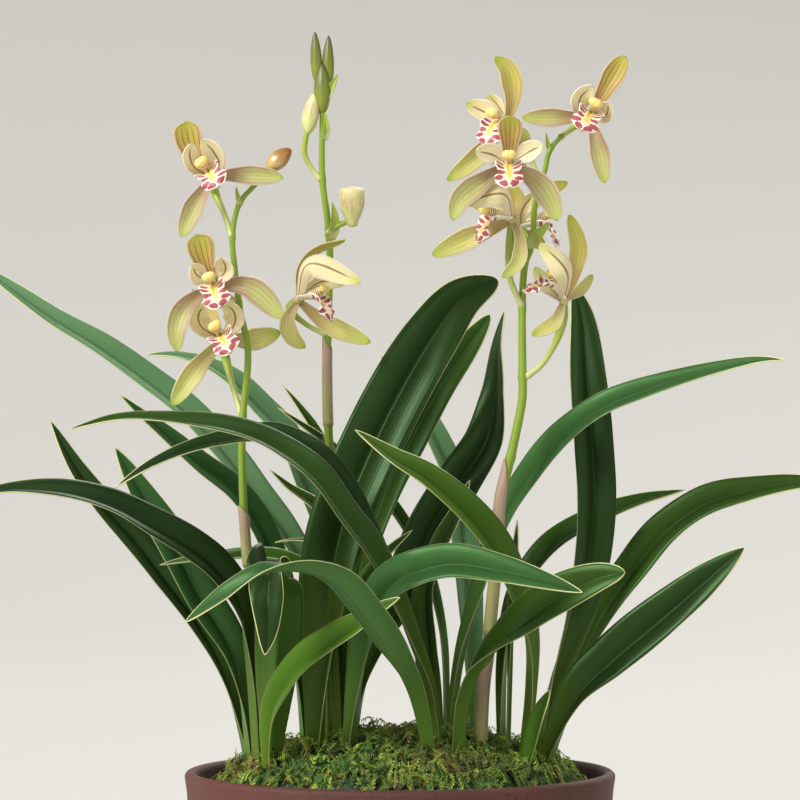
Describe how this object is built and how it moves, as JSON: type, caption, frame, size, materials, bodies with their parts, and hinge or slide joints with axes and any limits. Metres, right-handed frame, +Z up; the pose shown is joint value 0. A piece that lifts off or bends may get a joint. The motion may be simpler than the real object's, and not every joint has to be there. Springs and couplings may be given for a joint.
{
  "type": "potted orchid plant",
  "caption": "Potted orchid with arching strap leaves, upright stems of small pale flowers and a moss mound, in a tapered clay pot.",
  "frame": {"origin": "centre of the pot's flat underside", "axes": "+Z up along the pot's axis, +X to the right as seen from the front, -Y towards the front"},
  "size_m": [0.3551, 0.2163, 0.4256],
  "materials": {
    "clay": "matte",
    "bark_mix": "matte",
    "moss": "matte",
    "bulb": "matte",
    "leaf": "satin",
    "young_leaf": "satin",
    "stem": "satin",
    "tepal": "satin",
    "lip": "satin"
  },
  "bodies": {
    "root": {"pot": "clay", "potting_mix": "bark_mix", "moss": "moss", "rhizome": "bulb", "leaf_a1": "leaf", "leaf_a2": "leaf", "leaf_a3": "leaf", "leaf_a4": "young_leaf", "leaf_a5": "leaf", "leaf_b1": "leaf", "leaf_b2": "leaf", "leaf_b3": "young_leaf", "leaf_b4": "young_leaf", "leaf_b5": "leaf", "leaf_b6": "leaf", "leaf_b7": "leaf", "leaf_b8": "leaf", "leaf_b9": "leaf", "leaf_b10": "leaf", "leaf_b11": "leaf", "leaf_b12": "leaf", "leaf_c1": "leaf", "leaf_c2": "leaf", "leaf_c3": "leaf", "leaf_c4": "leaf", "leaf_c5": "leaf", "leaf_c6": "leaf", "leaf_c7": "leaf", "leaf_c8": "leaf", "leaf_d1": "leaf", "leaf_d2": "leaf", "leaf_d3": "leaf", "leaf_d4": "leaf", "leaf_d5": "leaf", "leaf_d6": "leaf", "basal_sheath": "young_leaf", "scape_left": "stem", "scape_middle": "stem", "scape_right": "stem", "perianth_left_top": "tepal", "lip_left_top": "lip", "perianth_left_middle": "tepal", "lip_left_middle": "lip", "perianth_left_low": "tepal", "lip_left_low": "lip", "perianth_middle": "tepal", "lip_middle": "lip", "perianth_right_a": "tepal", "lip_right_a": "lip", "perianth_right_b": "tepal", "lip_right_b": "lip", "perianth_right_c": "tepal", "lip_right_c": "lip", "perianth_right_d": "tepal", "lip_right_d": "lip", "perianth_right_e": "tepal", "lip_right_e": "lip", "perianth_right_f": "tepal", "lip_right_f": "lip"}
  },
  "joints": []
}
